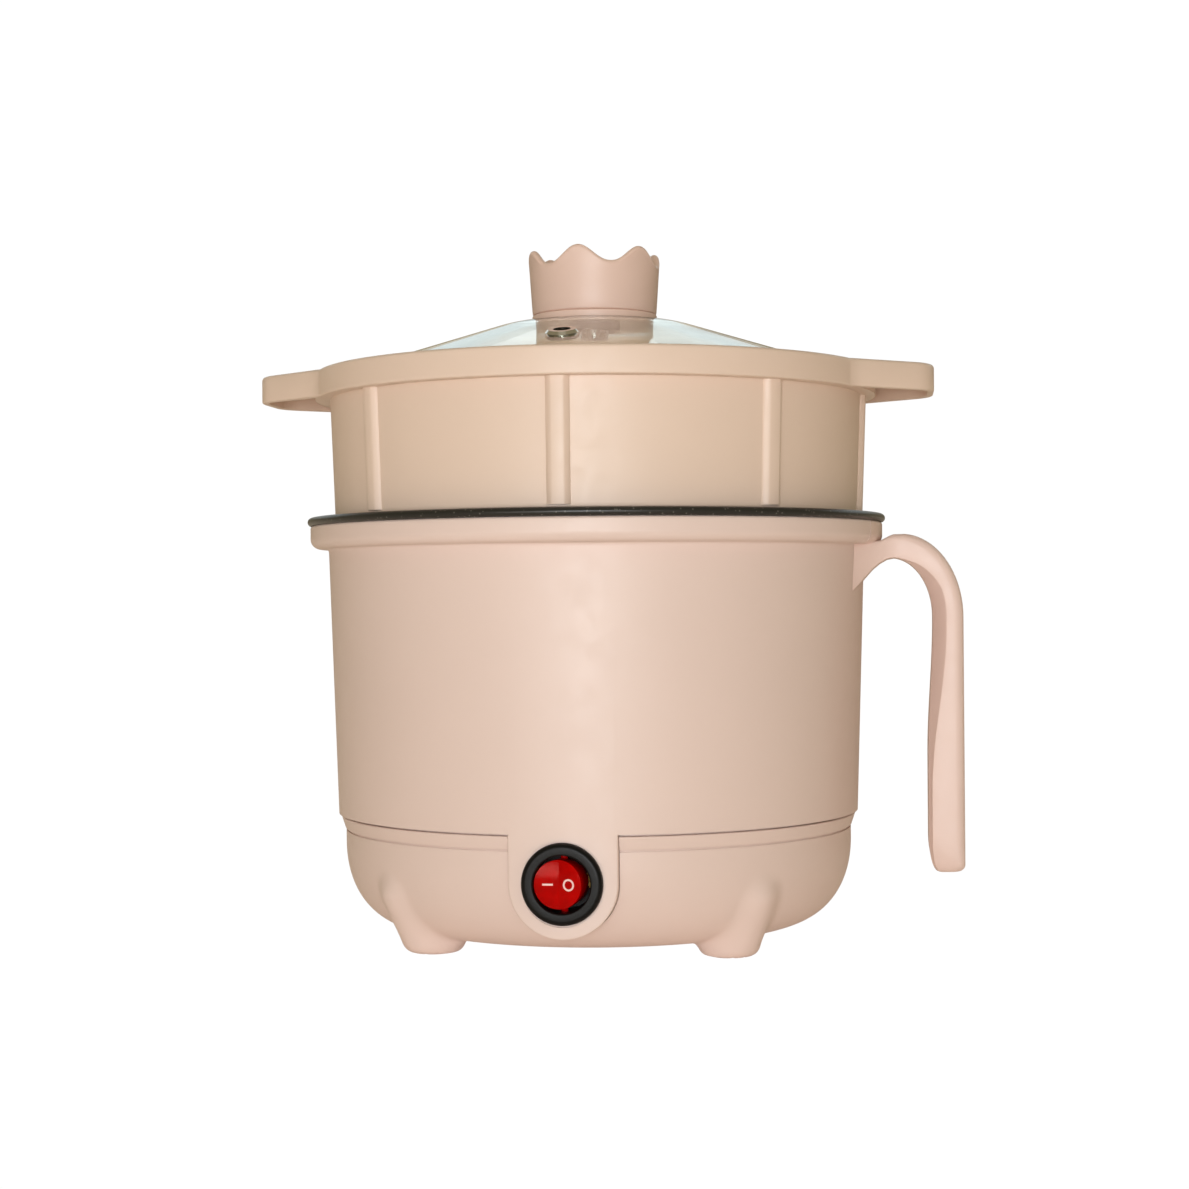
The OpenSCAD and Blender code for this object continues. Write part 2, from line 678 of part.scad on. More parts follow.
module handle_side() polygon(concat(
    [[80, 106.5], [80, flange_z], [88.9, flange_z], [91.5, arch_z - 0.6]],
    ellipse(arch_x, arch_foot_z, grip_out - arch_x, arch_z - arch_foot_z, 90, 0, 10),
    arc(grip_out - 2.5, grip_low_z + 2.5, 2.5, 0, -90, 5),
    arc(inner_x + 2.5, grip_low_z + 4, 4, -90, -180, 5),
    [[inner_x, 60]],
    ellipse(arch_low_x, arch_foot_z, inner_x + 1 - arch_low_x, arch_low_z - arch_foot_z, 0, 90, 8),
    [[88.6, 115.4], [85.5, 113], [84, 110.5], [80.8, 106.5]]));

module handle_plan() {
    root = 22.5;
    half = grip_w / 2;
    side = [[grip_out, half - 2], [grip_out - 2, half], [94, half], [89, half + 1.6],
        [86, root - 3], [84, root + 1], [70, root + 1]];
    polygon(concat(side, [for (i = [len(side) - 1 : -1 : 0]) [side[i].x, -side[i].y]]));
}

module handle() color(pink) difference() {
    union() {
        intersection() {
            translate([0, 40, 0]) rotate([90, 0, 0]) linear_extrude(80) handle_side();
            linear_extrude(140) handle_plan();
        }
        ring_sector(shell_top_r - 1, 88.9, flange_z - 1, shell_top_z - 0.05, handle_seam);
    }
    // Seat against the shell's wall
    translate([0, 0, shell_low_z])
        cylinder(r1 = shell_r(shell_low_z) + 0.05, r2 = shell_r(118) + 0.05, h = 118 - shell_low_z);
    translate([0, 0, 117.9]) cylinder(r = shell_top_r + 0.05, h = 20);
    // Bevels along the inside of the grip
    for (side = [-1, 1]) translate([inner_x, side * 6.5, 0]) rotate([0, 0, side * 46])
        translate([-12, side > 0 ? 0 : -14, 0]) cube([24, 14, 102]);
    for (z = handle_screw_z)
        translate([80, 0, z]) rotate([0, 90, 0]) cylinder(r = 1.55, h = z < 120 ? 5.6 : 8.4);
}

module handle_screws() color("silver") for (z = handle_screw_z) {
    rise = (z + 3.2 - shell_low_z) / (shell_top_z - shell_low_z);
    wall_x = shell_low_r - wall + rise * (shell_top_r - shell_low_r);
    translate([wall_x - 1.7, 0, z]) rotate([0, 90, 0]) {
        cylinder(r = 3.2, h = 1.2);
        cylinder(r = 1.5, h = z < 120 ? 5.4 : 8.2);
    }
}

// ---------------------------------------------------------------- steamer

function ear_outline(inset) = let (corner = 14, tip_x = ear_tip - corner, tip_y = 6, root = 35 - inset)
    concat([[80, -root]], arc(tip_x, -tip_y, corner - inset, -48, 0, 5),
        arc(tip_x, tip_y, corner - inset, 0, 48, 5), [[80, root]]);

module ears() for (turn = [0, 180]) rotate([0, 0, turn]) difference() {
    translate([0, 0, band_z]) linear_extrude(band_top_z - band_z) polygon(ear_outline(0));
    difference() {
        translate([0, 0, band_z - 1]) linear_extrude(band_top_z - band_z - 1.4) polygon(ear_outline(wall));
        cylinder(r = band_r, h = 300);
    }
}

module steamer_ribs() {
    rib_out = 1.7;
    rib_r = (rib_w * rib_w / 4 + rib_out * rib_out) / (2 * rib_out);
    lean = atan2(steamer_top_r - steamer_low_r, band_z - steamer_foot_z);
    for (i = [0 : rib_count - 1]) rotate([0, 0, i * 360 / rib_count - 90])
        translate([steamer_low_r + rib_out - rib_r, 0, steamer_foot_z + 0.2]) rotate([0, lean, 0])
            cylinder(r = rib_r, h = band_z - steamer_foot_z);
}

module steamer_floor() {
    translate([0, 0, spigot_z]) linear_extrude(wall) difference() {
        circle(r = spigot_r - 1.3);
        for (ring = [0 : 4], i = [0 : max(ring * 6 - 1, 0)])
            rotate(i * 60 / max(ring, 1)) translate([ring * 15, 0]) circle(r = 2.5);
    }
}

module steamer_basket() color(peach) {
    difference() {
        union() {
            rotate_extrude() polygon([
                [0, spigot_z], [spigot_r - 1.3, spigot_z], [spigot_r - 0.5, spigot_z + 0.8],
                [spigot_r, steamer_foot_z], [steamer_low_r, steamer_foot_z], [steamer_top_r, band_z],
                [band_r - 0.4, band_z], [band_r, band_z + 0.4], [band_r, band_top_z - 0.8],
                [band_r - 0.8, band_top_z], [0, band_top_z]]);
            steamer_ribs();
            ears();
        }
        rotate_extrude() polygon([
            [0, spigot_z - 1], [spigot_r - 1.3, spigot_z - 1], [spigot_r - 1.3, spigot_z + wall],
            [spigot_r - wall, spigot_z + wall], [spigot_r - wall, steamer_foot_z + wall],
            [steamer_low_r - wall, steamer_foot_z + wall], [steamer_top_r - wall, seat_z],
            [band_r - wall, seat_z],
            [band_r - wall, band_top_z - 0.8], [band_r - 1.4, band_top_z + 0.01], [0, band_top_z + 0.01]]);
    }
    steamer_floor();
}

// ---------------------------------------------------------------- lid

module glass_lid() color([0.8, 0.88, 0.86, 0.4]) difference() {
    rotate_extrude() polygon(concat(
        [[0, lid_z - glass_t], [0, lid_z]],
        arc(lid_crown_r, lid_z - lid_blend_r, lid_blend_r, 90, 90 - lid_slope, 6),
        [[lid_edge_r, lid_at(lid_edge_r)], [lid_edge_r, lid_at(lid_edge_r) - lid_drop]],
        arc(lid_crown_r, lid_z - lid_blend_r, lid_blend_r - glass_t, 90 - lid_slope, 90, 6)));
    translate([0, 0, 150]) cylinder(r = 3.2, h = 60);
    vent_place() cylinder(r = 4, h = 30, center = true);
}

module vent_place()
    rotate([0, 0, -93]) translate([vent_at, 0, lid_at(vent_at)]) rotate([0, lid_slope, 0]) children();

module lid_rim() color("silver") {
    t = 0.5;
    lap = 3.2;
    out = lid_edge_r + t;
    low = seat_z + gap;
    rotate_extrude() polygon([
        [lid_edge_r - lap, lid_at(lid_edge_r - lap)], [lid_edge_r, lid_at(lid_edge_r)],
        [lid_edge_r, lid_at(lid_edge_r) - lid_drop], [lid_edge_r - lap, lid_at(lid_edge_r - lap) - lid_drop],
        [lid_edge_r - lap, lid_at(lid_edge_r - lap) - lid_drop - t], [lid_edge_r - 0.6, low], [out, low],
        [out, lid_at(out) + t], [lid_edge_r - lap, lid_at(lid_edge_r - lap) + t]]);
}

module steam_vent() color("silver") vent_place() difference() {
    union() {
        cylinder(r1 = 5, r2 = 4.2, h = 0.9);
        translate([0, 0, -glass_t - 0.3]) cylinder(r = 4, h = glass_t + 0.3);
        translate([0, 0, -glass_t - 1]) cylinder(r = 5, h = 0.7);
    }
    translate([0, 0, -20]) cylinder(r = 2.6, h = 40);
}

module knob_collar() color(pink) difference() {
    translate([0, 0, lid_z]) cylinder(r = knob_r + 0.1, h = collar_t);
    cylinder(r = 3.2, h = 300);
}

module lid_knob() color(pink) {
    cup_t = 2.8;
    boss_z = knob_z + 8.6;
    valley_r = 13.4;
    mid_z = knob_z + 10;
    difference() {
        union() {
            difference() {
                rotate_extrude() polygon([[0, knob_z], [knob_r, knob_z], [knob_r + 0.7, mid_z],
                    [knob_r + 1.3, knob_top_z], [knob_r + 1.3 - cup_t, knob_top_z],
                    [knob_r - cup_t, knob_z + 3], [0, knob_z + 3]]);
                for (turn = [0, 60, 120]) rotate([0, 0, valley_at + turn])
                    translate([0, 0, knob_top_z - crown_depth + valley_r]) rotate([0, 90, 0])
                        cylinder(r = valley_r, h = 60, center = true);
            }
            translate([0, 0, knob_z]) cylinder(r = 6, h = boss_z - knob_z);
        }
        cylinder(r = 4, h = knob_z + 7.6);
    }
}

module knob_insert() color("#c8a860") difference() {
    translate([0, 0, knob_z + 0.6]) cylinder(r = 4, h = 6.6);
    cylinder(r = 2.5, h = 300);
}

module knob_screw() color("silver") difference() {
    union() {
        translate([0, 0, lid_z - glass_t - 4]) cylinder(r = 4.5, h = 2.6);
        translate([0, 0, lid_z - glass_t - 1.4]) cylinder(r = 2.5, h = 13.6);
    }
    for (turn = [0, 90]) rotate([0, 0, turn]) translate([-3, -0.5, lid_z - glass_t - 5]) cube([6, 1, 2.4]);
}

module knob_washer() color("#d8d8d8") difference() {
    translate([0, 0, lid_z - glass_t - 1.4]) cylinder(r = 8, h = 1.4);
    cylinder(r = 2.5, h = 300);
}

outer_shell();
base_housing();
base_screws();
inner_pot();
rim_gasket();
heater_plate();
heater_tube();
heater_terminals();
heat_shield();
pot_studs();
standoffs();
thermostat();
thermostat_blades();
thermostat_clip();
clip_screws();
thermal_fuse();
fuse_sleeve();
fuse_clip();
switch_housing();
switch_terminals();
switch_rocker();
rocker_marks();
neon_lamp();
rocker_plunger();
plunger_spring();
contact_arm();
power_inlet();
inlet_pins();
live_wire();
switched_wire();
fuse_wire();
heater_wire();
neutral_wire();
lamp_wire();
earth_wire();
wire_connectors();
handle();
handle_screws();
steamer_basket();
glass_lid();
lid_rim();
steam_vent();
lid_knob();
knob_collar();
knob_insert();
knob_screw();
knob_washer();
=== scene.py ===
import json
import math

import bmesh
import bpy
import numpy as np
from mathutils import Matrix, Vector

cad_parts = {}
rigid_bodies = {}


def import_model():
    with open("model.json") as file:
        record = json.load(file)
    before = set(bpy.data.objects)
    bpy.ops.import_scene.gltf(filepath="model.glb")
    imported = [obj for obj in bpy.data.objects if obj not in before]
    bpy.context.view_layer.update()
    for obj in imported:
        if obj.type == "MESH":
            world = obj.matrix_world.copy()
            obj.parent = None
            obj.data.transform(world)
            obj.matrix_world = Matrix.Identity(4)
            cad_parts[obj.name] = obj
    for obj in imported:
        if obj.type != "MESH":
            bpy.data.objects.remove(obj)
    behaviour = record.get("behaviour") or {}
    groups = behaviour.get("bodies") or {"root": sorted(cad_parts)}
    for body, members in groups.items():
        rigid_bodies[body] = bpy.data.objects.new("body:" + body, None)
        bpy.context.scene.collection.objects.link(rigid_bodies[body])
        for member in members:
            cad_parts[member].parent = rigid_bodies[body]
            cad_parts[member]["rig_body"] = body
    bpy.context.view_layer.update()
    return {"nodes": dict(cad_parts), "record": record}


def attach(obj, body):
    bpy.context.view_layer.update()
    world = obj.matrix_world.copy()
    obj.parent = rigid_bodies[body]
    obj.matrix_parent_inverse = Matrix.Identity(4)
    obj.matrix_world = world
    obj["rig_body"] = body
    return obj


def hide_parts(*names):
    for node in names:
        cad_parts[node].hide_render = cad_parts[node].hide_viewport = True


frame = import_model()
nodes = frame["nodes"]
SLOT = {p["node"]: p["material_slot"] for p in frame["record"]["subparts"]}
MM = 0.001
TURN = 2 * math.pi


# ---------------------------------------------------------------- shapes, in millimetres

def rounded(points, closed=False, step=12):
    """The outline (x, z, radius) with its corners rounded."""
    out = []
    count = len(points)
    for i, p in enumerate(points):
        r = p[2] if len(p) > 2 else 0
        if not r or (not closed and i in (0, count - 1)):
            out.append((p[0], p[1]))
            continue
        a, b, c = Vector(points[i - 1][:2]), Vector(p[:2]), Vector(points[(i + 1) % count][:2])
        u, v = (a - b).normalized(), (c - b).normalized()
        half = math.acos(max(-1, min(1, u.dot(v)))) / 2
        centre = b + (u + v).normalized() * (r / math.sin(half))
        start, end = b + u * (r / math.tan(half)) - centre, b + v * (r / math.tan(half)) - centre
        first = math.atan2(start.y, start.x)
        swing = (math.atan2(end.y, end.x) - first + math.pi) % TURN - math.pi
        steps = max(2, math.ceil(abs(swing) / math.radians(step)))
        for k in range(steps + 1):
            angle = first + swing * k / steps
            out.append((centre.x + r * math.cos(angle), centre.y + r * math.sin(angle)))
    return out


def arc(cx, cz, r, start, end, steps):
    turns = [math.radians(start + (end - start) * k / steps) for k in range(steps + 1)]
    return [(cx + r * math.cos(w), cz + r * math.sin(w)) for w in turns]


def smooth(x):
    x = max(0.0, min(1.0, x))
    return x * x * (3 - 2 * x)


def skin(rows, wrap_rows=False, wrap_cols=False, caps=False):
    count, width = len(rows), len(rows[0])
    verts = [p for row in rows for p in row]
    faces = []
    for i in range(count if wrap_rows else count - 1):
        for j in range(width if wrap_cols else width - 1):
            a, b = i * width, ((i + 1) % count) * width
            k = (j + 1) % width
            faces.append((a + j, a + k, b + k, b + j))
    if caps:
        faces += [tuple(range(width - 1, -1, -1)), tuple(range((count - 1) * width, count * width))]
    return verts, faces


def spread(count):
    """That many angles, evenly round the circle."""
    return [TURN * k / count for k in range(count)]


def spin(profile, angles=None, loop=True):
    """A surface of revolution. profile is a list of (r, z), or a function of the angle that gives one."""
    angles = angles if angles is not None else spread(240)
    at = profile if callable(profile) else lambda a: profile
    rows = [[(r * math.cos(a), r * math.sin(a), z) for r, z in at(a)] for a in angles]
    return skin(rows, wrap_rows=True, wrap_cols=loop)


def prism(outline, low, high, axis="Z"):
    """A closed outline pushed along an axis, from low to high."""
    place = {"Z": lambda p, h: (p[0], p[1], h), "Y": lambda p, h: (p[0], h, p[1]),
             "X": lambda p, h: (h, p[0], p[1])}[axis]
    return skin([[place(p, h) for p in outline] for h in (low, high)], wrap_cols=True, caps=True)


def circle(x, y, r, count=48):
    return [(x + r * math.cos(w), y + r * math.sin(w)) for w in spread(count)]


def box(x0, x1, y0, y1, z0, z1):
    return prism([(x0, y0), (x1, y0), (x1, y1), (x0, y1)], z0, z1)


def turned(shape, degrees):
    c, s = math.cos(math.radians(degrees)), math.sin(math.radians(degrees))
    return [(c * x - s * y, s * x + c * y, z) for x, y, z in shape[0]], shape[1]


def mesh(name, *shapes):
    """One object from the shapes, welded, with its normals outward."""
    verts, faces = [], []
    for v, f in shapes:
        faces += [tuple(i + len(verts) for i in face) for face in f]
        verts += v
    data = bpy.data.meshes.new(name)
    data.from_pydata([(x * MM, y * MM, z * MM) for x, y, z in verts], [], faces)
    obj = bpy.data.objects.new(name, data)
    bpy.context.scene.collection.objects.link(obj)
    tidy(obj)
    return obj


def tidy(obj):
    bm = bmesh.new()
    bm.from_mesh(obj.data)
    bmesh.ops.remove_doubles(bm, verts=bm.verts, dist=2e-6)
    bmesh.ops.dissolve_degenerate(bm, edges=bm.edges, dist=1e-6)
    bmesh.ops.recalc_face_normals(bm, faces=bm.faces)
    bm.to_mesh(obj.data)
    bm.free()


def subtract(obj, tool, operation="DIFFERENCE"):
    """obj cut by, or joined to, another object, which goes."""
    change = obj.modifiers.new("change", "BOOLEAN")
    change.operation, change.solver, change.object = operation, "MANIFOLD", tool
    done = bpy.data.meshes.new_from_object(obj.evaluated_get(bpy.context.evaluated_depsgraph_get()))
    obj.modifiers.clear()
    obj.data = done
    bpy.data.objects.remove(tool)


def combine(obj, operation, *shapes):
    """obj cut by, or joined to, closed shapes that don't touch each other."""
    subtract(obj, mesh("tool", *shapes), operation)


def soften(obj, angle):
    """Smooth shading, with edges sharper than the angle kept sharp."""
    bm = bmesh.new()
    bm.from_mesh(obj.data)
    for f in bm.faces:
        f.smooth = True
    for e in bm.edges:
        e.smooth = len(e.link_faces) == 2 and e.calc_face_angle(0) < math.radians(angle)
    bm.to_mesh(obj.data)
    bm.free()


def show(obj, node, angle):
    """obj takes the CAD node's place, on its body and with its material."""
    soften(obj, angle)
    obj.data.materials.clear()
    obj.data.materials.append(MATERIAL[SLOT[node]])
    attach(obj, nodes[node]["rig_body"])
    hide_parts(node)
    return obj


# ---------------------------------------------------------------- materials

def linear(colour):
    return [c / 12.92 if c <= 0.04045 else ((c + 0.055) / 1.055) ** 2.4 for c in colour]


class Shader:
    """A node material with a Principled shader."""

    def __init__(self, name, colour, rough, **settings):
        self.material = bpy.data.materials.new(name)
        self.material.use_nodes = True
        self.tree = self.material.node_tree
        self.bsdf = self.tree.nodes["Principled BSDF"]
        self.colour = (*linear(colour), 1)
        self.bsdf.inputs["Base Color"].default_value = self.colour
        self.bsdf.inputs["Roughness"].default_value = rough
        for key, value in settings.items():
            self.bsdf.inputs[key.replace("_", " ")].default_value = value
        self.where = self.node("ShaderNodeTexCoord").outputs["Object"]

    def node(self, kind, **settings):
        made = self.tree.nodes.new(kind)
        for key, value in settings.items():
            setattr(made, key, value)
        return made

    def link(self, a, b):
        self.tree.links.new(a, b)
        return self

    def noise(self, size, detail=3.0):
        """Noise with features of that size in millimetres."""
        made = self.node("ShaderNodeTexNoise")
        made.inputs["Scale"].default_value = 1000 / size
        made.inputs["Detail"].default_value = detail
        self.link(self.where, made.inputs["Vector"])
        return made.outputs["Fac"]

    def ramp(self, fac, stops):
        made = self.node("ShaderNodeValToRGB")
        for k, (at, colour) in enumerate(stops):
            stop = made.color_ramp.elements[k] if k < 2 else made.color_ramp.elements.new(at)
            stop.position, stop.color = at, colour
        self.link(fac, made.inputs["Fac"])
        return made.outputs["Color"]

    def vary(self, size, uneven, rough):
        """Slow changes in colour, and finer ones in roughness."""
        c = self.colour
        dark = (c[0] * (1 - uneven), c[1] * (1 - uneven), c[2] * (1 - uneven), 1)
        self.link(self.ramp(self.noise(size), [(0.3, dark), (0.7, c)]), self.bsdf.inputs["Base Color"])
        low, high = rough
        greys = [(0.3, (low,) * 3 + (1,)), (0.7, (high,) * 3 + (1,))]
        grey = self.ramp(self.noise(size / 12, 2.0), greys)
        self.link(grey, self.bsdf.inputs["Roughness"])
        return self

    def grain(self, size, depth):
        """A fine surface texture, with size and depth in millimetres."""
        bump = self.node("ShaderNodeBump")
        bump.inputs["Distance"].default_value = depth * MM
        self.link(self.noise(size, 2.0), bump.inputs["Height"])
        self.link(bump.outputs["Normal"], self.bsdf.inputs["Normal"])
        return self

    def speckle(self, size, share, colour):
        """Small flecks of another colour."""
        cells = self.node("ShaderNodeTexVoronoi")
        cells.inputs["Scale"].default_value = 1000 / size
        self.link(self.where, cells.inputs["Vector"])
        edge = [(share, (1, 1, 1, 1)), (share + 0.05, (0, 0, 0, 1))]
        mask = self.ramp(cells.outputs["Distance"], edge)
        mix = self.node("ShaderNodeMix", data_type="RGBA")
        mix.inputs[6].default_value = self.colour
        mix.inputs[7].default_value = (*linear(colour), 1)
        self.link(mask, mix.inputs["Factor"])
        self.link(mix.outputs[2], self.bsdf.inputs["Base Color"])
        return self


def plastic(name, colour, rough=0.42, uneven=0.03, grain=0.004):
    made = Shader(name, colour, rough).vary(60, uneven, (rough - 0.04, rough + 0.05))
    return made.grain(0.7, grain).material


def metal(name, colour, rough):
    made = Shader(name, colour, rough, Metallic=1.0)
    return made.vary(9, 0.08, (rough - 0.06, rough + 0.1)).material


def coated(name, colour, rough=0.32):
    """Dark non-stick coating with pale flecks."""
    made = Shader(name, colour, rough, Specular_IOR_Level=0.42)
    return made.speckle(1.3, 0.16, (0.36, 0.35, 0.33)).grain(0.9, 0.01).material


def clear(name, colour, rough, ior=1.5):
    made = Shader(name, colour, rough, IOR=ior)
    made.bsdf.inputs["Transmission Weight"].default_value = 1.0
    return made.grain(26, 0.02).material


MATERIAL = {
    "shell_plastic": plastic("shell_plastic", (0.880, 0.795, 0.765)),
    "handle_plastic": plastic("handle_plastic", (0.905, 0.805, 0.775)),
    "knob_plastic": plastic("knob_plastic", (0.925, 0.805, 0.755)),
    "steamer_plastic": plastic("steamer_plastic", (0.885, 0.795, 0.735)),
    "pot_coating": coated("pot_coating", (0.130, 0.125, 0.115)),
    "silicone": plastic("silicone", (0.80, 0.77, 0.72), 0.6),
    "plate_aluminium": metal("plate_aluminium", (0.74, 0.75, 0.76), 0.38),
    "sheath_steel": metal("sheath_steel", (0.46, 0.45, 0.44), 0.42),
    "sheet_steel": metal("sheet_steel", (0.68, 0.69, 0.70), 0.30),
    "fixings": metal("fixings", (0.72, 0.72, 0.70), 0.26),
    "brass": metal("brass", (0.80, 0.68, 0.38), 0.28),
    "vent_steel": metal("vent_steel", (0.80, 0.79, 0.76), 0.14),
    "lid_steel": metal("lid_steel", (0.74, 0.74, 0.72), 0.20),
    "bakelite": plastic("bakelite", (0.34, 0.24, 0.16), 0.35),
    "fuse_metal": metal("fuse_metal", (0.76, 0.74, 0.68), 0.30),
    "glass_fibre": plastic("glass_fibre", (0.88, 0.86, 0.80), 0.7, 0.08, 0.03),
    "switch_black": Shader("switch_black", (0.022, 0.023, 0.025), 0.38,
                           Specular_IOR_Level=0.2).grain(0.7, 0.03).material,
    "inlet_black": plastic("inlet_black", (0.060, 0.060, 0.062), 0.45, 0.2, 0.01),
    "nickel": metal("nickel", (0.74, 0.73, 0.70), 0.22),
    "wire_brown": plastic("wire_brown", (0.40, 0.23, 0.14), 0.4),
    "wire_red": plastic("wire_red", (0.66, 0.10, 0.08), 0.4),
    "wire_white": plastic("wire_white", (0.88, 0.87, 0.83), 0.45),
    "wire_blue": plastic("wire_blue", (0.13, 0.30, 0.62), 0.4),
    "wire_green": plastic("wire_green", (0.30, 0.58, 0.20), 0.4),
    "sleeve_white": plastic("sleeve_white", (0.86, 0.85, 0.81), 0.4),
    "mark_white": plastic("mark_white", (0.96, 0.83, 0.82), 0.5),
    "lamp_glass": clear("lamp_glass", (1.0, 0.72, 0.52), 0.05),
    "plunger_plastic": plastic("plunger_plastic", (0.85, 0.83, 0.76), 0.4),
    "spring_steel": metal("spring_steel", (0.66, 0.66, 0.66), 0.24),
    "lid_glass": clear("lid_glass", (0.965, 0.99, 0.98), 0.015),
}
red = Shader("rocker_red", (0.80, 0.0, 0.0), 0.12, IOR=1.49, Specular_IOR_Level=0.14,
             Specular_Tint=(1, 0.35, 0.32, 1))
red.bsdf.inputs["Transmission Weight"].default_value = 0.25
MATERIAL["rocker_red"] = red.vary(3, 0.25, (0.08, 0.14)).material


# ---------------------------------------------------------------- outer shell

def wall_r(z):
    return 81.2 + (z - 38.9) * 2.5 / 79.1


SHELL_LOW_Z, SHELL_TOP_Z = 38.9, 127.9
SWITCH_Z, TONGUE, TONGUE_R = 25.2, 15.65, 81.2
SEAM = math.radians(16.1)

shell_profile = rounded([
    (79.0, 38.9), (81.2, 38.9), (wall_r(118), 118), (83.78, 120.8, 1.2), (89.4, 120.8, 3), (89.4, 127.9, 0.9),
    (86.9, 127.9, 0.3), (86.9, 123), (83.9, 123), (83.9, 127.9, 0.3), (81.5, 127.9)], step=9)


def shell_at(a):
    a = (a + math.pi) % TURN - math.pi
    if abs(a) >= SEAM:
        return shell_profile
    core = 83.7
    return [(r, z) if r < core else
            (core, max(min(z, SHELL_TOP_Z), 118) if z < 123.5 or r > 87 else SHELL_TOP_Z)
            for r, z in shell_profile]


top_x = TONGUE - 0.4
top_a = math.asin(top_x / TONGUE_R)
tongue_angles = [-math.pi / 2 + top_a * (k / 12 - 1) for k in range(25)]


def from_front(a):
    """How far an angle is from the front, where the switch is."""
    return abs((a + math.pi / 2 + math.pi) % TURN - math.pi)


angles = spread(288) + [s * SEAM + e for s in (-1, 1) for e in (-4e-5, 4e-5)]
angles = [a for a in angles if from_front(a) > top_a + 0.004] + tongue_angles
angles = sorted(a % TURN for a in angles)
shell_rows = spin(shell_at, angles)
# The lower edge has no underside where the tongue goes on down
width = len(shell_profile)
front = [i for i, a in enumerate(angles) if from_front(a) < top_a + 1e-6]
under = {(i * width, i * width + 1) for i in front[:-1]}
shell_rows = (shell_rows[0], [f for f in shell_rows[1] if (f[0], f[1]) not in under])

straight = [SHELL_LOW_Z - (SHELL_LOW_Z - SWITCH_Z) * k / 10 for k in range(1, 10)]
outline = [(TONGUE_R * math.cos(a), SHELL_LOW_Z, 0, 0) for a in tongue_angles]
outline += [(top_x, z, 1, 0) for z in straight]
outline += [(top_x * math.cos(t), SWITCH_Z - top_x * math.sin(t), math.cos(t), -math.sin(t))
            for t in (math.pi * k / 48 for k in range(49))]
outline += [(-top_x, z, -1, 0) for z in reversed(straight)]
top_count = len(tongue_angles)


def on_tongue(x, r=TONGUE_R):
    return -math.sqrt(r * r - x * x)


def ring_row(r, y):
    row = []
    for x, z, nx, nz in outline:
        d = math.hypot(x, z - SWITCH_Z)
        px, pz = x * r / d, SWITCH_Z + (z - SWITCH_Z) * r / d
        row.append((px, y(px), pz))
    return row


def face_row(share):
    row = []
    for x, z, nx, nz in outline:
        d = math.hypot(x, z - SWITCH_Z)
        k = (12.1 + (d - 12.1) * share) / d
        row.append((x * k, on_tongue(x * k), SWITCH_Z + (z - SWITCH_Z) * k))
    return row


def edge_row(out, depth, y=None):
    """The outline moved outward and back; the points on the shell's own edge stay where they are."""
    row = []
    for i, (x, z, nx, nz) in enumerate(outline):
        if 0 < i < top_count - 1:
            row.append((x, on_tongue(x) if y is None else on_tongue(x, 78.8), z))
        else:
            side = math.copysign(1, x) if i in (0, top_count - 1) else nx
            px, pz = x + out * side, z + out * nz
            row.append((px, on_tongue(px) + depth if y is None else y(px), pz))
    return row


rows = [face_row(k / 8) for k in range(9)]
rows += [edge_row(0.4 * math.sin(t), 0.4 * (1 - math.cos(t)))
         for t in (math.pi / 8 * k for k in range(1, 5))]
rows += [edge_row(0.4, 0, lambda x: -66), edge_row(-1.8, 0, lambda x: -66),
         edge_row(-1.8, 0, lambda x: on_tongue(x, 78.8))]
rows += [ring_row(10.05, lambda x: on_tongue(x, 78.8)), ring_row(10.05, lambda x: -80.4),
         ring_row(12.1, lambda x: max(-80.4, on_tongue(x)))]
tongue = skin(rows, wrap_rows=True, wrap_cols=True)
held = len(outline)
skip = {(i * held + j) for i in range(8, 14) for j in range(top_count - 1)}
tongue = (tongue[0], [f for f in tongue[1] if f[0] not in skip])
show(mesh("cooker_shell", shell_rows, tongue), "outer_shell", 30)


# ---------------------------------------------------------------- base with its four feet

def round_cone(x, y, z, a, b, r1, r2):
    """Distance to a cone with round ends."""
    bx, by, bz = (b[i] - a[i] for i in range(3))
    l2 = bx * bx + by * by + bz * bz
    rr = r1 - r2
    a2 = l2 - rr * rr
    px, py, pz = x - a[0], y - a[1], z - a[2]
    t = px * bx + py * by + pz * bz
    s = t - l2
    x2 = (px * l2 - bx * t) ** 2 + (py * l2 - by * t) ** 2 + (pz * l2 - bz * t) ** 2
    k = rr * abs(rr) * x2
    far = np.sign(s) * a2 * s * s * l2 > k
    near = np.sign(t) * a2 * t * t * l2 < k
    side = (np.sqrt(x2 * a2 / l2) + t * rr) / l2 - r1
    start, end = np.sqrt(x2 + t * t * l2) / l2 - r1, np.sqrt(x2 + s * s * l2) / l2 - r2
    return np.where(far, end, np.where(near, start, side))


def join(a, b, k):
    """Smooth union of two distances."""
    h = np.clip(0.5 + 0.5 * (b - a) / k, 0, 1)
    return b * (1 - h) + a * h - k * h * (1 - h)


FOOT = (62, 0, 1.5), (74.0, 0, 18.5), 8.5, 5.2
FOOT_TURNS = 45, 135, 225, 315
SCREWS = [(x, y) for x in (-34, 34) for y in (-34, 34)]


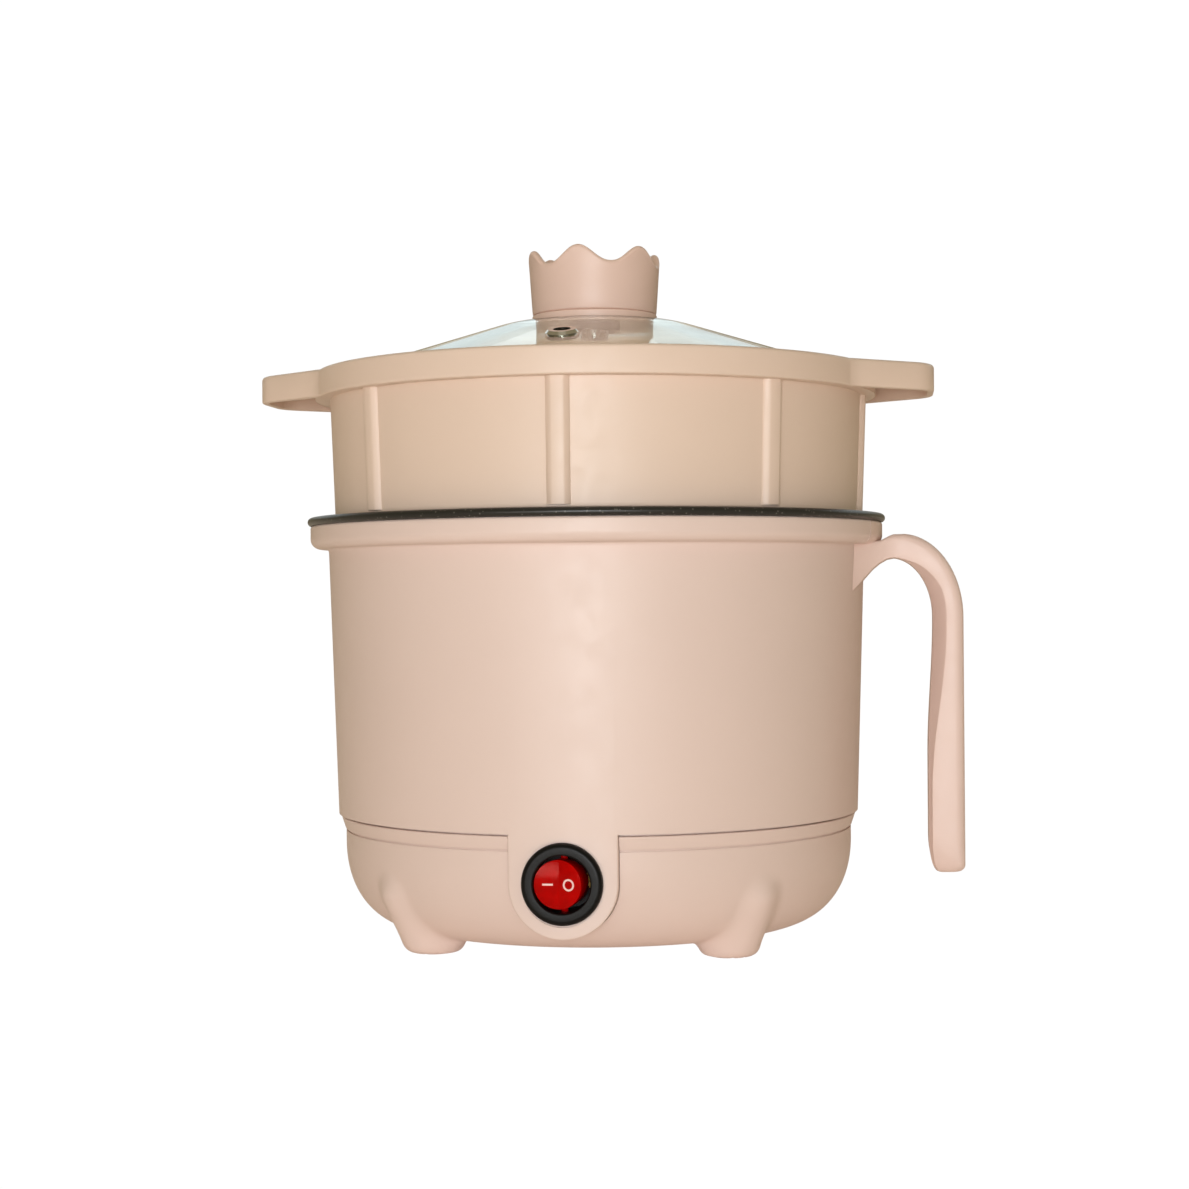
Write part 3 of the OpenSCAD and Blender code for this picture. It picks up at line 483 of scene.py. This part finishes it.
def base_distance(x, y, z):
    r = np.hypot(x, y)
    u, v = np.clip((r - 55.6) / 23.4, 0, None), np.clip((30.6 - z) / 26.6, 0, None)
    slope = np.hypot(2.33 * u ** 1.33 / 23.4, 2.17 * v ** 1.17 / 26.6)
    bowl = (u ** 2.33 + v ** 2.17 - 1) / np.maximum(slope, 0.02)
    made = bowl
    for turn in FOOT_TURNS:
        c, s = math.cos(math.radians(turn)), math.sin(math.radians(turn))
        foot = round_cone(c * x + s * y, -s * x + c * y, z, *FOOT)
        made = join(made, -join(-foot, z, 3.0), 4.0)
    gap = [np.abs(x) - 16.7, np.abs(y - 59) - 20.5, np.abs(z - 20.2) - 12.4]
    pad = np.sqrt(sum(np.maximum(g, 0) ** 2 for g in gap)) - 0.8
    return join(made, pad, 1.2)


angles = [k * 0.75 for k in range(480)]
tilts = np.radians(np.linspace(-128.66, 27.0, 116))
a, t = np.meshgrid(np.radians(angles), tilts, indexing="ij")
near, far = np.zeros_like(a), np.full_like(a, 40.0)
for _ in range(26):
    mid = (near + far) / 2
    r, z = 60 + mid * np.cos(t), 24 + mid * np.sin(t)
    inside = base_distance(r * np.cos(a), r * np.sin(a), z) < 0
    near, far = np.where(inside, mid, near), np.where(inside, far, mid)
r, z = 60 + near * np.cos(t), 24 + near * np.sin(t)
collar = rounded([(78.97, 33.8), (78.4, 33.8), (78.4, 34.4), (79.2, 34.4, 0.3), (80.5, 38.3, 0.4),
                  (78.4, 38.3), (78.4, SHELL_LOW_Z)])
rows = []
for i in range(len(angles)):
    c, s = math.cos(math.radians(angles[i])), math.sin(math.radians(angles[i]))
    side = [(r[i, j], z[i, j]) for j in range(len(tilts)) if z[i, j] < 33.75]
    side += [(max(78.97, r[i, -1]) if z[i, -1] > 33 else 78.97, 33.8)] * (len(tilts) - len(side))
    ring = [(0, 4)] + side + collar + [(0, SHELL_LOW_Z)]
    rows.append([(c * q, s * q, h) for q, h in ring])
base = mesh("base", skin(rows, wrap_rows=True))
hollow = rounded([(0, 60), (0, 6.2), (53.5, 6.2)])
hollow += [(53.5 + 23.3 * math.cos(w) ** 0.86, 30.6 - 24.4 * math.sin(w) ** 0.92)
           for w in (math.radians(k) for k in range(80, -1, -10))] + [(76.8, 60)]
inner = mesh("hollow", spin(hollow, spread(120), False))
combine(inner, "DIFFERENCE", *[prism(circle(x, y, 4.6), 0, 19) for x, y in SCREWS])
subtract(base, inner)
u_shape = [(15.8 * math.cos(w), SWITCH_Z - 15.8 * math.sin(w))
           for w in (math.pi * k / 48 for k in range(49))]
combine(base, "DIFFERENCE", prism(u_shape + [(-15.8, 60), (15.8, 60)], -90, -50, "Y"),
        box(-13.5, 13.5, 50, 90, 10.6, 30.4))
slot = prism(rounded([(18, -1, 0.9), (30, -1, 0.9), (30, 1, 0.9), (18, 1, 0.9)], True, 30), -1, 10)
combine(base, "DIFFERENCE", *[prism(circle(x, y, 3.4), -1, 12) for x, y in SCREWS],
        *[turned(slot, w) for w in range(15, 360, 30)])
combine(base, "DIFFERENCE", *[prism(circle(x, y, 1.7, 24), 11, 30) for x, y in SCREWS])


def groove(i, turn):
    """A round-bottomed groove across a sole, along the foot's radius."""
    verts, faces = prism(circle(i * 3.3, -0.5, 1.15, 20), 50, 74, "X")
    return turned((verts, faces), turn)


combine(base, "DIFFERENCE", *[groove(i, w) for w in FOOT_TURNS for i in (-2, -1, 0, 1, 2)])
tidy(base)
show(base, "base_housing", 32)


# ---------------------------------------------------------------- handle

def plan_half(x):
    """Half width of the handle at that distance from the axis."""
    return 13.5 + 9.8 * max(0.0, (94.5 - x) / 15) ** 1.9


# Both sides of the handle seen from the front, with the same number of points: root, arch, grip and lower end
ARCH_FOOT_Z, GRIP_STEP = 98.5, 3.6
arch = [math.pi / 2 * k / 22 for k in range(1, 23)]
outer = [(78.5, 121.6), (82.5, 121.6), (87, 121.6), (88.9, 121.9), (90.2, 122.55), (91.4, 123.2),
         (92.8, 123.75)]
outer += [(95 + 18.7 * math.sin(w), ARCH_FOOT_Z + 25.4 * math.cos(w)) for w in arch]
outer += [(113.7, ARCH_FOOT_Z - GRIP_STEP * k) for k in range(1, 20)]
outer += arc(111.3, 23.1, 2.4, 0, -90, 8)
inner_side = [(78.5, 104.7), (80.6, 106.7), (82.6, 108.9), (84.6, 111.2), (86.4, 113.2), (88.6, 115.0),
              (90.8, 116.25)]
inner_side += [(92 + 12.6 * math.sin(w), ARCH_FOOT_Z + 18.2 * math.cos(w)) for w in arch]
inner_side += [(104.6 - 1.7 * smooth(k / 12), ARCH_FOOT_Z - GRIP_STEP * k) for k in range(1, 20)]
inner_side += [(105.9 - 3.0 * math.cos(w), 30.0 - 9.3 * math.sin(w))
               for w in (math.pi * k / 16 for k in range(9))]
rows = []
for i, (p, q) in enumerate(zip(outer, inner_side)):
    p, q = Vector(p), Vector(q)
    thick = (q - p).length
    bevel = smooth((i - 8) / 16) * (1 - 0.8 * smooth((i - 29) / 14))
    end = max(0.0, 1 - (p.y - 20.7) / 3.4) if i > 30 else 0
    trim = 3.4 * (1 - math.sqrt(max(0.0, 1 - end * end)))
    round_out = 1.4 + 1.4 * smooth((i - 2) / 8)
    half = []
    for k in range(6):
        w = math.pi / 2 * k / 5
        half.append((round_out * (1 - math.cos(w)), -round_out * (1 - math.sin(w))))
    deep = 0.42 * bevel
    section = [(d, 1, inset) for d, inset in half]
    crease = thick * (1 - deep)
    section += [(max(round_out + 0.5, thick * (0.25 + 0.3 * (1 - bevel))), 1, 0), (crease - 0.5, 1, 0),
                (crease - 0.1, 1, -0.12), (crease + 0.3 * bevel, 1, -0.5)]
    section += [(thick - 0.35, 0, 6.9), (thick, 0, 6.2)]
    row = []
    for sign in (1, -1):
        part = []
        for d, full, inset in section:
            at = p + (q - p) * (d / thick)
            wide = plan_half(at.x) - trim
            if full:
                y = wide + inset
            else:
                y = (1 - bevel) * (wide - (0.6 if inset == 6.9 else 1.0)) + bevel * min(inset, wide)
            part.append((at.x, sign * y, at.y))
        row += part if sign == 1 else part[::-1]
    rows.append(row)
handle = mesh("handle_grip", skin(rows, wrap_cols=True, caps=True))
block_profile = rounded([(80, 120.8), (89.4, 120.8, 3), (89.4, SHELL_TOP_Z, 0.9), (86.9, SHELL_TOP_Z, 0.3),
                         (86.9, 123), (83.9, 123), (83.9, SHELL_TOP_Z, 0.3), (80, SHELL_TOP_Z)], step=9)
block_angles = [math.radians(15.75) * (k / 16 - 1) for k in range(33)]
block = skin([[(q * math.cos(w), q * math.sin(w), h) for q, h in block_profile] for w in block_angles],
             wrap_cols=True, caps=True)
combine(handle, "UNION", block)
combine(handle, "DIFFERENCE", spin([(0, 30), (80.96, 30), (81.25, SHELL_LOW_Z), (83.75, 118), (83.75, 140),
                                    (0, 140)], None, False))
tidy(handle)
show(handle, "handle", 24)


# ---------------------------------------------------------------- steamer

BAND_R, BAND_LOW_Z, BAND_TOP_Z, SEAT_Z = 87.5, 167.2, 175.6, 169.1
EAR_TIP = 105.5


def steamer_r(z):
    return 81.65 + (z - 130.5) * 1.35 / 36.7


def rib(a):
    off = (a + math.pi / 2 + math.pi / 8) % (math.pi / 4) - math.pi / 8
    d = abs(off) * 82.5
    if d >= 3.6:
        return 0
    return 1.7 * (smooth((3.6 - d) / 1.9) * 0.45 + 0.55 * math.sqrt(max(0.0, 1 - (d / 3.45) ** 2)))


steamer_profile = [(0, 118.6, 0)] + [(*p, 0) for p in rounded([
    (60, 118.6), (77.0, 118.6, 0.8), (77.9, 130.5, 0.2), (81.65, 130.5, 0.5), (81.7, 131.3)])]
steamer_profile += [(steamer_r(z), z, 1) for z in (131.35, 131.8, 140, 150, 160, 166.6, 167.2)]
steamer_profile += [(*p, 0) for p in rounded([
    (83.2, BAND_LOW_Z), (BAND_R, BAND_LOW_Z, 0.6), (BAND_R, BAND_TOP_Z, 1.1), (86.1, BAND_TOP_Z, 0.5),
    (85.3, SEAT_Z, 0.2), (80.8, SEAT_Z, 0.8), (79.5, 132.7, 0.5), (75.7, 132.7, 0.5), (75.7, 120.8, 0.8),
    (60, 120.8)])] + [(0, 120.8, 0)]
angles = sorted({round(a, 6) for a in spread(288)} |
                {round((-math.pi / 2 + math.pi / 4 * n + d / 82.5) % TURN, 6) for n in range(8)
                 for side in (-1, 1) for d in (side * x for x in (0.8, 1.5, 2.1, 2.6, 3.0, 3.3, 3.45, 3.6))})


def steamer_at(a):
    out = rib(a)
    return [(r + out * k, z) for r, z, k in steamer_profile]


steamer = mesh("steamer", spin(steamer_at, angles, False))


def ear_outline(inset):
    """One ear seen from above, from its root on the band out to the tip and back."""
    half = rounded([(79.5, 34.7), (84.2, 30.83), (EAR_TIP, 13.3, 14), (EAR_TIP, 0)], step=8)
    points = half[:-1] + [(x, -y) for x, y in reversed(half[:-1])]
    points = [(79, 36.5)] + points + [(79, -36.5)]
    out = []
    for i, p in enumerate(points):
        p = Vector(p)
        if i in (0, len(points) - 1):
            out.append((p.x, p.y - math.copysign(inset, p.y)))
            continue
        along = (Vector(points[i + 1]) - Vector(points[i - 1])).normalized()
        out.append(tuple(p - Vector((-along.y, along.x)) * inset))
    return out


band_wall = arc(0, 0, 87.6, -18.5, 18.5, 12)
# Each ear is hollow from below, out to the band's own wall
ear_levels = [(BAND_LOW_Z, 0.5), (167.4, 0.15), (167.8, 0.0), (174.6, 0.0), (175.1, 0.2), (175.45, 0.6),
              (BAND_TOP_Z, 1.1)]
hollow_levels = [(166, 1.7), (BAND_LOW_Z, 1.7), (167.5, 2.1), (173.1, 2.4)]
inside_band = [(0, SEAT_Z), (80.8, SEAT_Z), (85.25, SEAT_Z), (86.0, 175.0), (86.4, 177), (0, 177)]
for turn in (0, 180):
    ear = [[(x, y, h) for x, y in ear_outline(inset)] for h, inset in ear_levels]
    combine(steamer, "UNION", turned(skin(ear, wrap_cols=True, caps=True), turn))
    pocket = [[(x, y, h) for x, y in band_wall + [p for p in ear_outline(inset) if p[0] > 88]]
              for h, inset in hollow_levels]
    combine(steamer, "DIFFERENCE", turned(skin(pocket, wrap_cols=True, caps=True), turn))
    combine(steamer, "DIFFERENCE", spin(inside_band, None, False))
holes = []
for n in range(5):
    for i in range(max(6 * n, 1)):
        w = math.radians(60 / max(n, 1) * i)
        holes.append(prism(circle(15 * n * math.cos(w), 15 * n * math.sin(w), 2.5, 24), 117, 122))
combine(steamer, "DIFFERENCE", *holes)
tidy(steamer)
show(steamer, "steamer_basket", 32)


# ---------------------------------------------------------------- lid

SLOPE = math.radians(17.6)


def lid_z(r):
    return 191.4 - 40 * (1 - math.cos(SLOPE)) - (r - 20 - 40 * math.sin(SLOPE)) * math.tan(SLOPE)


drop = 3.5 / math.cos(SLOPE)
glass = [(3.2, 187.9), (3.2, 191.4)] + arc(20, 151.4, 40, 90, 72.4, 10)
glass += rounded([(70, lid_z(70)), (83.35, lid_z(83.35), 1.2), (83.35, lid_z(83.35) - drop, 1.2),
                  (70, lid_z(70) - drop)])
glass += arc(20, 151.4, 36.5, 72.4, 90, 10)
lid = mesh("lid_glass", spin(glass))
combine(lid, "DIFFERENCE", turned(prism(circle(53, 0, 4.0), 175, 192), -93))
show(lid, "glass_lid", 35)


def crown(a):
    off = abs((a - math.radians(-7.6) + math.pi / 6) % (math.pi / 3) - math.pi / 6) / (math.pi / 6)
    return 208.8 + 4.95 * ((1 - math.cos(math.pi * off)) / 2) ** 1.15


def knob_at(a):
    top = crown(a)
    lean = lambda z: 19.5 + 1.3 * (z - 193.9) / 19.9
    side = [(19.1, 193.95), (19.35, 194.1), (19.5, 194.4)] + [(lean(z), z) for z in (197, 200, 203, 206)]
    side += [(lean(top - 1.4), top - 1.4)]
    middle = lean(top) - 1.25
    side += [(middle + 1.2 * math.cos(w), top - 1.2 + 1.2 * math.sin(w))
             for w in (math.pi * k / 8 for k in range(9))]
    side += [(lean(206) - 2.7, 206.0), (16.9, 198.2), (16.2, 197.1), (15.2, 196.9)]
    post = [(7.4, 196.9), (6.3, 197.2), (6.0, 198), (5.9, 202), (5.4, 202.5), (0, 202.5)]
    return [(0, 193.95)] + side + post


knob = mesh("crown_knob", spin(knob_at, spread(360), False))
show(knob, "lid_knob", 34)
ring = mesh("knob_ring", spin(rounded([
    (3.2, 191.42), (19.3, 191.42, 0.3), (19.6, 191.8, 0.2), (19.6, 193.6, 0.35), (19.1, 193.85),
    (3.2, 193.85)], True)))
show(ring, "knob_collar", 34)

rim = mesh("lid_band", spin(rounded([
    (80.2, lid_z(80.2) + 0.5), (83.6, lid_z(83.6) + 0.5, 0.5), (83.9, 169.25, 0.2), (82.8, 169.25, 0.2),
    (80.2, lid_z(80.2) - drop - 0.5), (80.2, lid_z(80.2) - drop), (83.38, lid_z(83.38) - drop, 0.3),
    (83.38, lid_z(83.38), 0.3), (80.2, lid_z(80.2))], True)))
show(rim, "lid_rim", 30)


# ---------------------------------------------------------------- pot

pot = [(0, 46)] + arc(63.6, 58.8, 12.8, -90, 0, 12) + arc(81.4, 127.6, 2.0, 180, 100, 6)
pot += [(88.2, 129.55)] + arc(89.0, 129.1, 1.3, 200, 450, 14) + arc(81.4, 127.6, 2.8, 90, 180, 7)
pot += arc(63.6, 58.8, 12, 0, -90, 12) + [(0, 46.8)]
show(mesh("pot", spin(pot, None, False)), "inner_pot", 35)


# ---------------------------------------------------------------- switch

def facing(shape, y):
    """A shape built round Z turned to face -Y at the switch, with its z as the distance in front of y."""
    return [(px, y - pz, SWITCH_Z + py) for px, py, pz in shape[0]], shape[1]


bezel = spin(rounded([(8.15, -11), (8.15, 2.5, 0.5), (11.6, 2.5, 1.5), (11.6, 0.02, 0.2), (9.9, 0),
                      (9.9, -13.4), (0, -13.4), (0, -11.8), (8.15, -11.8)], False, 10), spread(120))
show(mesh("switch_bezel", facing(bezel, -80.4)), "switch_housing", 30)


# ---------------------------------------------------------------- every other piece keeps its CAD shape

for name, obj in nodes.items():
    if obj.hide_render:
        continue
    obj.data.materials.clear()
    obj.data.materials.append(MATERIAL[SLOT[name]])
    for polygon in obj.data.polygons:
        polygon.use_smooth = True
    weld = obj.modifiers.new("weld", "WELD")
    weld.merge_threshold = 2e-6
    if name in ("switch_rocker", "power_inlet"):
        flat = obj.modifiers.new("flat", "DECIMATE")
        flat.decimate_type, flat.angle_limit = "DISSOLVE", math.radians(1)
        edge = obj.modifiers.new("edge", "BEVEL")
        edge.width, edge.segments, edge.limit_method = 0.35 * MM, 3, "ANGLE"
        edge.angle_limit = math.radians(35)
    split = obj.modifiers.new("split", "EDGE_SPLIT")
    split.split_angle = math.radians(30)


# ---------------------------------------------------------------- floor, light and camera

scene = bpy.context.scene
scene.view_settings.view_transform = "Standard"
scene.view_settings.look = "None"

# White to the camera, brown through the glass, and dim and warm as a source of light
world = bpy.data.worlds.new("studio")
scene.world = world
world.use_nodes = True
links, made = world.node_tree.links, world.node_tree.nodes
path, dim = made.new("ShaderNodeLightPath"), made["Background"]
dim.inputs["Color"].default_value = 1.0, 0.85, 0.55, 1
dim.inputs["Strength"].default_value = 0.34
white = made.new("ShaderNodeBackground")
white.inputs["Color"].default_value = 1, 1, 1, 1
white.inputs["Strength"].default_value = 1.02
brown = made.new("ShaderNodeBackground")
brown.inputs["Color"].default_value = 0.46, 0.31, 0.16, 1
brown.inputs["Strength"].default_value = 1.0
through, mix = made.new("ShaderNodeMixShader"), made.new("ShaderNodeMixShader")
links.new(path.outputs["Is Transmission Ray"], through.inputs["Fac"])
links.new(dim.outputs["Background"], through.inputs[1])
links.new(brown.outputs["Background"], through.inputs[2])
links.new(path.outputs["Is Camera Ray"], mix.inputs["Fac"])
links.new(through.outputs["Shader"], mix.inputs[1])
links.new(white.outputs["Background"], mix.inputs[2])
links.new(mix.outputs["Shader"], made["World Output"].inputs["Surface"])

# The floor is white to the camera, dull to everything else, and clear from below
bpy.ops.mesh.primitive_plane_add(size=6, location=(0, 0, -0.0004))
floor = bpy.context.object
floor.name = "floor"
ground = Shader("floor", (0.96, 0.93, 0.90), 0.8, Emission_Color=(1.0, 0.88, 0.76, 1),
                Emission_Strength=0.17)
path, side = ground.node("ShaderNodeLightPath"), ground.node("ShaderNodeNewGeometry")
white, clear_side = ground.node("ShaderNodeEmission"), ground.node("ShaderNodeBsdfTransparent")
white.inputs["Strength"].default_value = 1.02
first, second = ground.node("ShaderNodeMixShader"), ground.node("ShaderNodeMixShader")
ground.link(path.outputs["Is Camera Ray"], first.inputs["Fac"])
ground.link(ground.bsdf.outputs["BSDF"], first.inputs[1])
ground.link(white.outputs["Emission"], first.inputs[2])
ground.link(side.outputs["Backfacing"], second.inputs["Fac"])
ground.link(first.outputs["Shader"], second.inputs[1])
ground.link(clear_side.outputs["BSDF"], second.inputs[2])
ground.link(second.outputs["Shader"], ground.tree.nodes["Material Output"].inputs["Surface"])
floor.data.materials.append(ground.material)


def light(name, place, target, size, power, colour=(1, 1, 1)):
    data = bpy.data.lights.new(name, "AREA")
    data.shape, data.size, data.size_y = "RECTANGLE", size[0], size[1]
    data.energy, data.color = power, colour
    obj = bpy.data.objects.new(name, data)
    scene.collection.objects.link(obj)
    obj.location = place
    obj.rotation_euler = (Vector(target) - Vector(place)).to_track_quat("-Z", "Y").to_euler()


# A creased white sheet behind the pot that shows only in reflections
bpy.ops.mesh.primitive_plane_add(size=1, location=(0, 1.5, 1.15), rotation=(math.pi / 2, 0, 0))
sheet = bpy.context.object
sheet.name, sheet.scale = "sheet", (5.0, 1.1, 1.0)
cloth = Shader("sheet", (1, 1, 1), 0.8)
path = cloth.node("ShaderNodeLightPath")
glow, unseen = cloth.node("ShaderNodeEmission"), cloth.node("ShaderNodeBsdfTransparent")
either = cloth.node("ShaderNodeMixShader")
creases = [(0.35, (0.78, 0.86, 0.86, 1)), (0.65, (1.06, 1.14, 1.13, 1))]
cloth.link(cloth.ramp(cloth.noise(300), creases), glow.inputs["Color"])
cloth.link(path.outputs["Is Glossy Ray"], either.inputs["Fac"])
cloth.link(unseen.outputs["BSDF"], either.inputs[1])
cloth.link(glow.outputs["Emission"], either.inputs[2])
cloth.link(either.outputs["Shader"], cloth.tree.nodes["Material Output"].inputs["Surface"])
sheet.data.materials.append(cloth.material)

light("key", (0.08, -1.6, 0.16), (0, 0, 0.10), (0.45, 0.45), 9.4, (0.88, 0.94, 1.0))
light("low", (0.0, -0.9, 0.02), (0, 0, 0.04), (0.9, 0.2), 3.3, (1.0, 0.97, 0.92))
light("top", (0.0, -0.5, 1.4), (0, 0, 0.15), (0.8, 0.8), 0.4, (1.0, 0.98, 0.96))
light("back", (-0.2, 1.5, 0.95), (0, 0, 0.17), (1.8, 0.9), 1.4, (0.95, 0.98, 1.0))

AZIMUTH, ROLL = math.radians(7.4), math.radians(0.46)
right = Vector((math.cos(AZIMUTH), math.sin(AZIMUTH), 0))
ahead = Vector((-math.sin(AZIMUTH), math.cos(AZIMUTH), 0))
up = Vector((0, 0, 1))
side, top = right * math.cos(ROLL) - up * math.sin(ROLL), up * math.cos(ROLL) + right * math.sin(ROLL)
lens = bpy.data.cameras.new("camera")
lens.lens, lens.sensor_width = 67.5, 36
camera = bpy.data.objects.new("camera", lens)
scene.collection.objects.link(camera)
spot = -0.703 * ahead - 0.00074 * right + Vector((0, 0, 0.1061))
camera.matrix_world = Matrix.Translation(spot) @ Matrix((side, top, -ahead)).transposed().to_4x4()
scene.camera = camera
